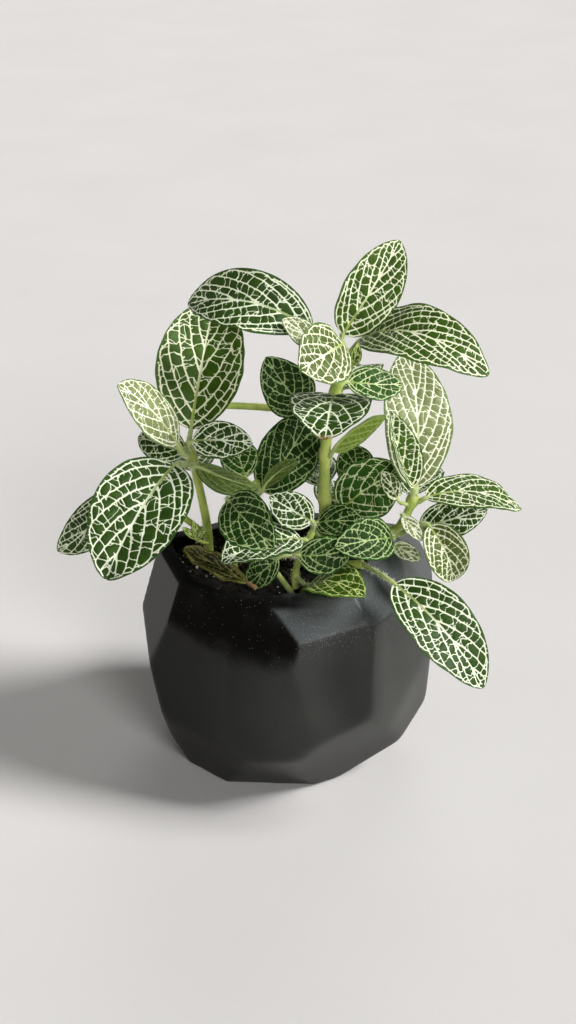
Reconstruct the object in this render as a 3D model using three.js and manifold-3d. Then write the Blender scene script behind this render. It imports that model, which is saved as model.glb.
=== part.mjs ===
// A nerve plant (fittonia) in a faceted ceramic pot. Millimetres, +Z up, front towards -Y.
// The origin is the centre of the pot's base, on the surface that the pot stands on.
import * as THREE from "three";
import { mergeVertices } from "three/addons/utils/BufferGeometryUtils.js";
import Module from "manifold-3d";

const wasm = await Module();
wasm.setup();

// ---------------------------------------------------------------- driving dimensions

const POT_HEIGHT = 88;
const POT_WALL = 4.5;
const POT_FLOOR = 6;
const SOIL_TOP = 81;
const GAP = 0.3; // air between neighbouring pieces

// The pot's outside is cut by flat facets. Each one is a plane that faces `azimuth` degrees round
// from +X, leans back from upright by `tilt` degrees (+ faces up, - faces down) and lies
// `distance` mm from the pot's middle point.
const POT_MIDDLE = new THREE.Vector3(0, 0, 46);
const POT_FACETS = [
  // shoulder, under the rim
  [-161, 15, 54.5], [-133.5, 10.5, 51], [-107.5, 21, 53], [-82.5, 38.5, 56], [-24.5, 44, 55.5],
  [-9, 31, 57], [72, 44, 55], [118, 38, 54], [155, 14, 58],
  // belt, the widest part
  [-133.5, 4.5, 49], [-105, 4.5, 51], [-77, 15, 54], [-29.5, 6, 51], [-1, -2, 57.5],
  [53, -2, 57], [88, 4, 56], [130, -2, 55], [-177, -12, 54],
  // foot, drawn in to the base
  [-25, -5, 52.5], [-60.5, -31, 51.5], [-93, -41, 53], [-131.5, -23, 53], [178, -30, 57],
  [135, -44, 55], [90, -34, 56], [34, -40, 57], [-16, -58, 53],
];

const RING_POINTS = 8; // round a stem, a petiole or a blade
const STEM_STEP = 7; // length of one straight bit of a stem

// Each stem: the points its middle passes, from inside the soil upwards, and its radius at both ends.
const STEMS = {
  stem_main: {
    path: [[14, 1, 69], [14, 0, 107], [14, 0, 130], [17, 0, 152], [20, 0, 172]],
    radii: [2.5, 1.6],
  },
  stem_left: { path: [[-31, 3, 69], [-31, 2, 95], [-34, -1, 118], [-37, -5, 136]], radii: [1.9, 1.4] },
  stem_right: {
    path: [[22, 2, 69], [23, 1, 87], [32, -3, 96], [42, -7, 102], [48, -4, 114]],
    radii: [1.8, 1.4],
  },
  stem_inner: { path: [[-12, 6, 69], [-12, 4, 95], [-12, 0, 118]], radii: [1.5, 1.2] },
  stem_middle: { path: [[-20, -10, 69], [-21, -11, 98], [-22, -14, 117]], radii: [1.4, 1.2] },
  stem_front: { path: [[4, -19, 69], [3, -19, 90], [9, -15, 104]], radii: [1.5, 1.2] },
  stem_low_left: { path: [[-31, 10, 69], [-32, 10, 88], [-40, 10, 97], [-58, 9, 109]], radii: [1.4, 1.1] },
  stem_low_right: { path: [[16, -13, 69], [17, -14, 83], [22, -17, 91], [28, -20, 93]], radii: [1.6, 1.5] },
};

// A side branch that grew out of the main stem, behind the leaves.
const BRANCH = { path: [[15, 1, 139], [8, 12, 141], [-8, 15, 142], [-25, 15, 143]], radii: [1.5, 1.3] };

const LEAF_THICKNESS = 0.7;
const PETIOLE_RADIUS = 0.9;
const PETIOLE_STATIONS = [0, 0.35, 0.7, 1];
const PETIOLE_PULL = 0.35; // how far its two ends run straight, as a share of its length
const PETIOLE_CLEARANCE = 0.45; // off the stem that it grows from
const LOOSE_PETIOLE = 4; // stalk left on the shed leaf
const LEAF_SWELL = 0.55; // how fast the outline swells from the base: 0 at once, 1 slowly
const LEAF_CLOSE = 0.75; // and closes to the tip
const BLADE_STATIONS = [0.04, 0.14, 0.3, 0.5, 0.7, 0.86, 0.96, 0.995]; // rings, base to tip

// Each leaf: name, the stem it grows from and how far up it (0 to 1), the blade's base and tip,
// its width, the way its upper side faces, how far its middle arches up and bends to its right,
// and how steeply its halves rise, in degrees, at the midrib and at the margin. A slender base
// has a swell of its own at the end of the row.
const LEAVES = [
  // the crown
  ["leaf_crown_left", "stem_main", 0.97, [9, 3, 178], [-37, 16, 183], 24, [-2, -8, 6], 9, 3, [12, 17], 0.7],
  ["leaf_crown_front", "stem_main", 0.985, [20, -4, 175], [4, -30, 175], 23, [7, -4, 6], 2, 0, [6, 0]],
  ["leaf_crown_small", "stem_main", 0.92, [11, -4, 174], [-2, -3, 184], 10, [3, -8, 6], 1, 0, [8, 6]],
  ["leaf_crown_top", "stem_main", 1.0, [20, 3, 176], [41, 20, 206], 22, [2, -9, 4], 3, 0, [12, 20]],
  ["leaf_crown_right", "stem_main", 0.96, [27, 8, 172], [71, -20, 169], 25, [-2, -5, 9], 13, 0, [8, 5]],
  ["leaf_crown_bud", "stem_main", 0.9, [23, -3, 166], [25, -6, 176], 5, [3, -8, 4], 1, 0, [15, 10]],
  // the main stem
  ["leaf_main_front", "stem_main", 0.82, [17, -4, 155], [13, -38, 152], 30, [0, -1, 10], 3, 0, [9, 9]],
  ["leaf_main_right", "stem_main", 0.84, [22, 4, 157], [43, 11, 153], 14, [4, -6, 7], 1, 1, [8, 8]],
  ["leaf_main_left", "stem_main", 0.7, [6, 6, 146], [-8, 1, 168], 20, [3, -9, 0], 3, -1, [12, 18]],
  ["leaf_main_turned", "stem_main", 0.58, [17, -3, 132], [36, -9, 149], 12, [6, 3, -7], -2, 1, [28, 33]],
  ["leaf_main_back", "stem_main", 0.4, [31, 12, 111], [22, 25, 121], 16, [-4, -6, 6], 1, 0, [9, 8]],
  ["leaf_main_low", "stem_main", 0.3, [21, -2, 108], [43, 2, 122], 25, [1, -10, 1], 2, -2, [10, 12]],
  ["leaf_main_foot", "stem_main", 0.25, [11, -9, 105], [28, -16, 109], 14, [-4, -5, 8], 1, 0, [7, 4]],
  // the left stem
  ["leaf_left_upright", "stem_left", 1.0, [-36, -3, 141], [-28, 36, 177], 35, [0, -7, 7], 4, 0, [15, 28]],
  ["leaf_left_pale", "stem_left", 0.94, [-41, -10, 138], [-61, -17, 164], 21, [7, -4, 5], 1, 2, [5, -5]],
  ["leaf_left_shaded", "stem_left", 0.9, [-39, 2, 129], [-57, 10, 132], 14, [-3, -8, 6], 2, 0, [9, 8]],
  ["leaf_left_front", "stem_left", 0.88, [-42, -14, 131], [-65, -48, 102], 35, [0, -6, 8], 7, 0, [11, 15]],
  ["leaf_left_inner", "stem_left", 0.98, [-35, -12, 140], [-13, -12, 139], 15, [0, -7, 7], 2, 0, [7, 4]],
  ["leaf_left_turned", "stem_left", 0.85, [-34, -13, 130], [-11, -12, 121], 18, [-4, 1, -9], 1, 0, [7, 4]],
  ["leaf_left_low", "stem_low_left", 1.0, [-68, 8, 110], [-90, 4, 86], 17, [1, -10, 1], 3, -2, [10, 10]],
  // the inner, middle and front stems
  ["leaf_inner_upright", "stem_inner", 0.98, [-16, -3, 121], [-21, 15, 128], 15, [-1, -4, 9], 1, 0, [10, 10]],
  ["leaf_inner_dark", "stem_inner", 0.9, [-10, 4, 112], [9, 27, 135], 24, [2, -8, 6], 3, 1, [12, 20]],
  ["leaf_inner_turned", "stem_inner", 0.93, [-9, -8, 119], [4, -9, 130], 9, [6, 4, -7], 0, 2, [5, -10]],
  ["leaf_middle", "stem_middle", 1.0, [-22, -20, 120], [-5, -39, 110], 20, [-4, -7, 6], 3, 0, [9, 10]],
  ["leaf_front_upper", "stem_front", 1.0, [9, -16, 109], [-7, -15, 119], 14, [1, -9, 3], 1, 0, [7, 3]],
  ["leaf_front_left", "stem_front", 0.9, [5, -19, 103], [-24, -36, 102], 22, [1, -2, 10], 3, 1, [10, 12]],
  ["leaf_front_low", "stem_front", 0.7, [-4, -21, 96], [-15, -20, 84], 11, [-3, -9, 3], 2, 0, [9, 9]],
  ["leaf_front_right", "stem_front", 0.75, [4, -29, 102], [24, -26, 104], 15, [1, -10, 2], 2, 1, [9, 9]],
  ["leaf_front_young", "stem_front", 0.5, [8, -27, 88], [28, -43, 92], 20, [-3, 0, 9], 4, 0, [9, 11]],
  // the right stem and the leaf that hangs over the rim
  ["leaf_right_tall", "stem_right", 1.0, [49, 2, 115], [46, 33, 158], 28, [3, -7, 6], 10, -2, [7, 2]],
  ["leaf_right_folded", "stem_right", 0.98, [47, -7, 119], [38, 0, 147], 17, [6, -7, 4], 0, -2, [38, 40]],
  ["leaf_right_pointed", "stem_right", 0.96, [52, -6, 114], [89, -2, 107], 20, [3, -2, 9], 4, -2, [6, 1]],
  ["leaf_right_small", "stem_right", 0.93, [41, -9, 115], [35, -6, 125], 8, [3, -8, 5], 1, 0, [9, 8]],
  ["leaf_right_outer", "stem_right", 0.8, [50, -8, 102], [75, -10, 111], 15, [-2, -9, 5], 2, 0, [8, 6]],
  ["leaf_right_drooping", "stem_right", 0.72, [53, -16, 107], [62, -20, 86], 17, [2, -10, 2], 5, -1, [17, 25]],
  ["leaf_right_curled", "stem_right", 0.85, [43, -14, 110], [50, -20, 103], 6, [0, -8, 6], 1, 0, [8, 7]],
  ["leaf_right_facing", "stem_right", 0.7, [39, -16, 102], [17, -31, 106], 17, [5, -6, 6], 3, 0, [11, 16]],
  ["leaf_right_tiny", "stem_right", 0.65, [40, -14, 98], [50, -20, 95], 7, [-3, -8, 6], 1, 0, [9, 7]],
  ["leaf_hanging", "stem_low_right", 1.0, [39, -37, 94], [71, -57, 62], 26, [3, -7, 7], 6, 0, [10, 11]],
  // the back
  ["leaf_back_upper", "branch", 1.0, [-29, 19, 144], [-37, 48, 152], 24, [0, 3, 9], 4, 0, [8, 8]],
  ["leaf_back_middle", "stem_main", 0.8, [20, 8, 152], [32, 40, 148], 22, [0, 2, 9], 4, 0, [8, 8]],
  ["leaf_back_inner", "stem_main", 0.42, [12, 9, 112], [3, 42, 107], 22, [0, 3, 9], 4, 0, [8, 8]],
  ["leaf_back_right", "stem_right", 0.96, [47, 5, 110], [54, 37, 105], 22, [1, 3, 9], 4, 0, [8, 8]],
  ["leaf_back_left", "stem_left", 0.75, [-36, 9, 118], [-48, 39, 109], 24, [0, 3, 9], 4, 0, [8, 8]],
  ["leaf_back_low", "stem_main", 0.25, [18, 10, 101], [26, 43, 96], 22, [0, 3, 9], 4, 0, [8, 8]],
  // shed, dry and folded, lying on the rim
  ["leaf_withered", null, 0, [-15, -29, 90], [-40, -3, 91], 12, [-5, -5, 7], 2, 0, [35, 45]],
];

// A young shoot low on the left stem: its own little stem, and its narrow leaves as tip, width, face.
const SHOOT = { path: [[-31, -1, 92], [-33, -4, 94], [-35, -7, 97]], radii: [0.8, 0.7] };
const SHOOT_BASE = [-35, -7.5, 97.5];
const SHOOT_STATIONS = [0.1, 0.4, 0.8, 0.98];
const SHOOT_ARCH = 0.5;
const SHOOT_FOLD = [15, 15];
const SHOOT_LEAVES = [
  [[-40, -9, 103], 3, [0, -8, 5]],
  [[-36, -7, 105], 3, [3, -8, 3]],
  [[-31, -10, 102], 3, [-2, -8, 5]],
];

// Colour and roughness of each kind of surface.
const LOOKS = {
  ceramic: [0x35373a, 0.7],
  earth: [0x1d1712, 1.0],
  bark: [0x7c8f3c, 0.5],
  blade: [0x2f5a2a, 0.5],
  dryBlade: [0x5b5a2c, 0.8],
};

// ---------------------------------------------------------------- solids and meshes

const vector = ([x, y, z]) => new THREE.Vector3(x, y, z);

function solidOf(geometry) {
  const bare = geometry.clone();
  bare.deleteAttribute("normal");
  bare.deleteAttribute("uv");
  const merged = mergeVertices(bare, 1e-5);
  const vertProperties = Float32Array.from(merged.attributes.position.array);
  const triVerts = Uint32Array.from(merged.index.array);
  return new wasm.Manifold(new wasm.Mesh({ numProp: 3, vertProperties, triVerts }));
}

function geometryOf(solid) {
  const mesh = solid.getMesh();
  const geometry = new THREE.BufferGeometry();
  geometry.setAttribute("position", new THREE.Float32BufferAttribute(mesh.vertProperties, 3));
  geometry.setIndex(Array.from(mesh.triVerts));
  return geometry;
}

// A named mesh that stands at `place`; the geometry is given where it lies in the whole plant.
function piece(name, geometry, [color, roughness], place = new THREE.Vector3()) {
  geometry.translate(-place.x, -place.y, -place.z);
  geometry.computeVertexNormals();
  const mesh = new THREE.Mesh(geometry, new THREE.MeshStandardMaterial({ color, roughness, metalness: 0 }));
  mesh.name = name;
  mesh.position.copy(place);
  return mesh;
}

// Skin rings of equal point counts into one closed body. The ends are closed with a fan.
function loft(rings) {
  const count = rings[0].length;
  const index = [];
  for (let r = 0; r + 1 < rings.length; r += 1) {
    for (let k = 0; k < count; k += 1) {
      const a = r * count + k;
      const b = r * count + ((k + 1) % count);
      index.push(a, b, a + count, b, b + count, a + count);
    }
  }
  const last = (rings.length - 1) * count;
  for (let k = 1; k + 1 < count; k += 1) {
    index.push(0, k + 1, k, last, last + k, last + k + 1);
  }
  const geometry = new THREE.BufferGeometry().setFromPoints(rings.flat());
  geometry.setIndex(index);
  return geometry;
}

// Points round `centre`, starting opposite to `side` and going by way of `up`.
function ringAround(centre, side, up, radius) {
  const ring = [];
  for (let k = 0; k < RING_POINTS; k += 1) {
    const angle = Math.PI - (2 * Math.PI * k) / RING_POINTS;
    const point = centre.clone();
    point.addScaledVector(side, radius * Math.cos(angle));
    point.addScaledVector(up, radius * Math.sin(angle));
    ring.push(point);
  }
  return ring;
}

// ---------------------------------------------------------------- pot and soil

// A convex block of the pot's facets, each moved in by `inset`, between two heights.
function facetedBlock(inset, bottom, top) {
  const reach = 4 * POT_HEIGHT;
  const blank = new THREE.BoxGeometry(reach, reach, top - bottom);
  blank.translate(0, 0, (top + bottom) / 2);
  let solid = solidOf(blank);
  for (const [azimuth, tilt, distance] of POT_FACETS) {
    const [turn, lean] = [azimuth, tilt].map(THREE.MathUtils.degToRad);
    const level = Math.cos(lean);
    const outward = new THREE.Vector3(level * Math.cos(turn), level * Math.sin(turn), Math.sin(lean));
    const cutter = new THREE.BoxGeometry(reach, reach, reach);
    cutter.translate(0, 0, reach / 2 + distance - inset);
    cutter.applyQuaternion(new THREE.Quaternion().setFromUnitVectors(new THREE.Vector3(0, 0, 1), outward));
    cutter.translate(POT_MIDDLE.x, POT_MIDDLE.y, POT_MIDDLE.z);
    solid = solid.subtract(solidOf(cutter));
  }
  return solid;
}

function pot() {
  const outside = facetedBlock(0, 0, POT_HEIGHT);
  const hollow = facetedBlock(POT_WALL, POT_FLOOR, 2 * POT_HEIGHT);
  return piece("pot", geometryOf(outside.subtract(hollow)), LOOKS.ceramic);
}

// Earth that fills the pot, with room for each stem that stands in it.
function soil() {
  let earth = facetedBlock(POT_WALL + GAP, POT_FLOOR + GAP, SOIL_TOP);
  for (const { path, radii } of Object.values(STEMS)) {
    const [[x, y, z], ...rest] = path;
    const room = stemSweep([[x, y, z - GAP], ...rest], radii.map((radius) => radius + GAP));
    earth = earth.subtract(solidOf(room));
  }
  return piece("soil", geometryOf(earth), LOOKS.earth);
}

// ---------------------------------------------------------------- stems

const stemCurve = (path) => new THREE.CatmullRomCurve3(path.map(vector), false, "centripetal");

// A round stem along `path`, tapering from the first radius to the second.
function stemSweep(path, radii) {
  const curve = stemCurve(path);
  const steps = Math.ceil(curve.getLength() / STEM_STEP);
  const rings = [];
  for (let i = 0; i <= steps; i += 1) {
    const along = curve.getTangentAt(i / steps);
    const side = new THREE.Vector3(0, 1, 0).cross(along).normalize();
    const up = side.clone().cross(along);
    const radius = THREE.MathUtils.lerp(radii[0], radii[1], i / steps);
    rings.push(ringAround(curve.getPointAt(i / steps), side, up, radius));
  }
  return loft(rings);
}

function stem(name) {
  const { path, radii } = STEMS[name];
  let solid = solidOf(stemSweep(path, radii));
  if (name === "stem_main") {
    solid = solid.add(solidOf(stemSweep(BRANCH.path, BRANCH.radii)));
  }
  return piece(name, geometryOf(solid), LOOKS.bark, vector(path[0]));
}

// ---------------------------------------------------------------- leaves

// Share of the full half-width at a place along the blade, 0 at the base to 1 at the tip.
function outline(along, swell) {
  const shape = (u) => u ** swell * (1 - u) ** LEAF_CLOSE;
  return shape(along) / shape(swell / (swell + LEAF_CLOSE));
}

// The blade's middle surface, as a function of `along` (0 at the base to 1 at the tip) and
// `across` (-1 at the left margin to 1 at the right).
function bladeSurface(base, tip, width, face, arch, bend, fold, swell = LEAF_SWELL) {
  const chord = tip.clone().sub(base);
  const forward = chord.clone().normalize();
  const up = face.clone().addScaledVector(forward, -face.dot(forward)).normalize();
  const right = forward.clone().cross(up);
  const bow = up.clone().multiplyScalar(arch).addScaledVector(right, bend);
  const [rise, margin] = fold.map(THREE.MathUtils.degToRad);
  const turn = margin - rise || 1e-6;
  return (along, across) => {
    const point = base.clone().addScaledVector(chord, along);
    point.addScaledVector(bow, 4 * along * (1 - along));
    const heading = chord.clone().addScaledVector(bow, 4 * (1 - 2 * along)).normalize();
    const side = right.clone().addScaledVector(heading, -right.dot(heading)).normalize();
    const facing = side.clone().cross(heading);
    // each half is an arc that leaves the midrib at `rise` and meets the margin at `margin`
    const slope = rise + turn * Math.abs(across);
    const half = (width / 2) * outline(along, swell);
    const out = (half * (Math.sin(slope) - Math.sin(rise))) / turn;
    const lift = (half * (Math.cos(rise) - Math.cos(slope))) / turn;
    const hand = Math.sign(across);
    point.addScaledVector(side, hand * out).addScaledVector(facing, lift);
    facing.multiplyScalar(Math.cos(slope)).addScaledVector(side, -hand * Math.sin(slope));
    return { point, facing, heading, side };
  };
}

// One closed ring of the blade: five points over the upper side and three back under it.
function bladeRing(surface, along) {
  const skin = (across, way) => {
    const { point, facing } = surface(along, across);
    return point.addScaledVector(facing, (way * LEAF_THICKNESS * (1 - across * across)) / 2);
  };
  const upper = [-1, -0.5, 0, 0.5, 1].map((across) => skin(across, 1));
  const lower = [0.5, 0, -0.5].map((across) => skin(across, -1));
  return [...upper, ...lower];
}

// From just off the stem's side, or off its end, to the blade's base.
function petioleCurve(stemName, height, base, heading) {
  if (!stemName) {
    const stub = base.clone().addScaledVector(heading, -LOOSE_PETIOLE);
    return new THREE.LineCurve3(stub, base);
  }
  const { path, radii } = stemName === "branch" ? BRANCH : STEMS[stemName];
  const curve = stemCurve(path);
  const node = curve.getPointAt(height);
  const outward = base.clone().sub(node);
  if (height < 1) {
    const along = curve.getTangentAt(height);
    outward.addScaledVector(along, -outward.dot(along));
  }
  outward.normalize();
  const stemRadius = THREE.MathUtils.lerp(radii[0], radii[1], height);
  const start = node.addScaledVector(outward, stemRadius + PETIOLE_CLEARANCE);
  const pull = PETIOLE_PULL * start.distanceTo(base);
  const leaving = start.clone().addScaledVector(outward, pull);
  const arriving = base.clone().addScaledVector(heading, -pull);
  return new THREE.CubicBezierCurve3(start, leaving, arriving, base);
}

function petioleRing(curve, share, bladeSide) {
  const along = curve.getTangentAt(share);
  const side = bladeSide.clone().addScaledVector(along, -bladeSide.dot(along)).normalize();
  const up = side.clone().cross(along);
  return ringAround(curve.getPointAt(share), side, up, PETIOLE_RADIUS);
}

// Petiole and blade in one closed body.
function leaf(row) {
  const [name, stemName, height, baseAt, tipAt, width, face, arch, bend, fold, swell] = row;
  const base = vector(baseAt);
  const surface = bladeSurface(base, vector(tipAt), width, vector(face), arch, bend, fold, swell);
  const { heading, side } = surface(0, 0);
  const petiole = petioleCurve(stemName, height, base, heading);
  const stalk = PETIOLE_STATIONS.map((share) => petioleRing(petiole, share, side));
  const blade = BLADE_STATIONS.map((along) => bladeRing(surface, along));
  const look = stemName ? LOOKS.blade : LOOKS.dryBlade;
  return piece(name, loft([...stalk, ...blade]), look, base);
}

// The shoot's little stem with its narrow leaves, grown as one piece.
function shoot() {
  const base = vector(SHOOT_BASE);
  let solid = solidOf(stemSweep(SHOOT.path, SHOOT.radii));
  for (const [tip, width, face] of SHOOT_LEAVES) {
    const surface = bladeSurface(base, vector(tip), width, vector(face), SHOOT_ARCH, 0, SHOOT_FOLD);
    const { point, heading, side, facing } = surface(0, 0);
    const foot = point.addScaledVector(heading, -SHOOT.radii[0]);
    const stalk = ringAround(foot, side, facing, SHOOT.radii[1] / 2);
    const blade = SHOOT_STATIONS.map((along) => bladeRing(surface, along));
    solid = solid.add(solidOf(loft([stalk, ...blade])));
  }
  return piece("shoot_left", geometryOf(solid), LOOKS.blade, vector(SHOOT.path[0]));
}

// ---------------------------------------------------------------- the whole plant

const holder = new THREE.Group();
holder.add(pot(), soil());

const plant = new THREE.Group();
for (const name of Object.keys(STEMS)) {
  plant.add(stem(name));
}
for (const row of LEAVES) {
  plant.add(leaf(row));
}
plant.add(shoot());

const group = new THREE.Group();
group.add(holder, plant);

export default group;
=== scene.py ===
"""A nerve plant (fittonia) in a faceted ceramic pot: its looks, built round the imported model.

Sizes in the tables are millimetres, +Z up, front towards -Y, the origin under the pot's middle.
Everything that Blender holds is in metres, so a length is turned by MM where a mesh is made.
"""

import math
import random

import bpy
import numpy as np
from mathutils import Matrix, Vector


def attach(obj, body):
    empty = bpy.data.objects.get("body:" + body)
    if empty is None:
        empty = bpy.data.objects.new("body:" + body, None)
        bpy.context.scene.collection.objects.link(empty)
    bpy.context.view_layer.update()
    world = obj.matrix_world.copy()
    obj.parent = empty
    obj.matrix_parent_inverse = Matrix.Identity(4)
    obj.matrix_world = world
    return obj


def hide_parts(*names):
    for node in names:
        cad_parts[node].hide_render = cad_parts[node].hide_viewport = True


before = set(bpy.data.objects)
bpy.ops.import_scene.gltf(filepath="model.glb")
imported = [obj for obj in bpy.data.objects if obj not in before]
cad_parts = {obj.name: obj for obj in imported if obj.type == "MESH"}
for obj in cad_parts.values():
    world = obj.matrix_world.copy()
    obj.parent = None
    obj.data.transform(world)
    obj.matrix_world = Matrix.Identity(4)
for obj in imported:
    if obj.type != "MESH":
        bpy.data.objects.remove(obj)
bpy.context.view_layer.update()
bpy.ops.object.select_all(action="DESELECT")

MM = 0.001

# ---- driving dimensions

POT_HEIGHT = 88
POT_WALL = 4.5
POT_FLOOR = 6
SOIL_TOP = 81
GAP = 0.3

# Heights between which the pot's painted foot shade fades out, its spilled peat with painted shade and its
# painted mica glints set in, and the peat and painted shade on its rim begin.
FOOT_SHADE = (10, 34)
SPILL_AND_SHADE_FOOT = (67, 80)
GLINTS_FROM = (68, 75)
DUST_AND_SHADE_RIM = (84, 86.5)

# Flat facets of the pot: each faces `azimuth` degrees round from +X, leans by `tilt` degrees
# (+ faces up) and lies `distance` from the pot's middle point.
POT_MIDDLE = Vector((0, 0, 46))
POT_FACETS = [
    # shoulder, under the rim
    (-161, 15, 54.5), (-133.5, 10.5, 51), (-107.5, 21, 53), (-82.5, 38.5, 56), (-24.5, 44, 55.5),
    (-9, 31, 57), (72, 44, 55), (118, 38, 54), (155, 14, 58),
    # belt, the widest part
    (-133.5, 4.5, 49), (-105, 4.5, 51), (-77, 15, 54), (-29.5, 6, 51), (-1, -2, 57.5),
    (53, -2, 57), (88, 4, 56), (130, -2, 55), (-177, -12, 54),
    # foot, drawn in to the base
    (-25, -5, 52.5), (-60.5, -31, 51.5), (-93, -41, 53), (-131.5, -23, 53), (178, -30, 57),
    (135, -44, 55), (90, -34, 56), (34, -40, 57), (-16, -58, 53),
]
SPILL_AND_SHADE_ON = POT_FACETS[1:3]  # shoulder facets that peat was spilled on, under painted shade of the leaves

# Each stem: the points that its middle passes, from inside the soil upwards, and its radius at
# both ends. The branch grows out of the main stem, behind the leaves.
STEMS = {
    "stem_main": ([(14, 1, 69), (14, 0, 107), (14, 0, 130), (17, 0, 152), (20, 0, 172)], (2.5, 1.6)),
    "stem_left": ([(-31, 3, 69), (-31, 2, 95), (-34, -1, 118), (-37, -5, 136)], (1.9, 1.4)),
    "stem_right": ([(22, 2, 69), (23, 1, 87), (32, -3, 96), (42, -7, 102), (48, -4, 114)], (1.8, 1.4)),
    "stem_inner": ([(-12, 6, 69), (-12, 4, 95), (-12, 0, 118)], (1.5, 1.2)),
    "stem_middle": ([(-20, -10, 69), (-21, -11, 98), (-22, -14, 117)], (1.4, 1.2)),
    "stem_front": ([(4, -19, 69), (3, -19, 90), (9, -15, 104)], (1.5, 1.2)),
    "stem_low_left": ([(-31, 10, 69), (-32, 10, 88), (-40, 10, 97), (-58, 9, 109)], (1.4, 1.1)),
    "stem_low_right": ([(16, -13, 69), (17, -14, 83), (22, -17, 91), (28, -20, 93)], (1.6, 1.5)),
    "branch": ([(15, 1, 139), (8, 12, 141), (-8, 15, 142), (-25, 15, 143)], (1.5, 1.3)),
}

# short cut stubs that stand in the soil beside a stem
STUBS = {"stem_front": [((2, -20.5, 80), (-1.5, -21.5, 86), (-5, -22.5, 92)), ((5, -21, 80), (7.5, -23, 86))]}

PETIOLE_RADIUS = 0.9
PETIOLE_PULL = 0.35  # how far its two ends run straight, as a share of its length
LOOSE_PETIOLE = 4
LEAF_THICKNESS = 0.4
# how fast a blade's outline swells from the base and closes to the tip: 0 at once, 1 slowly
OVATE = (0.55, 0.72)
BLUNT = (0.55, 0.66)
LONG_BASED = (0.7, 0.75)
VEIN_WEB = 0.14  # how far two veins that meet fill the corner between them

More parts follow.
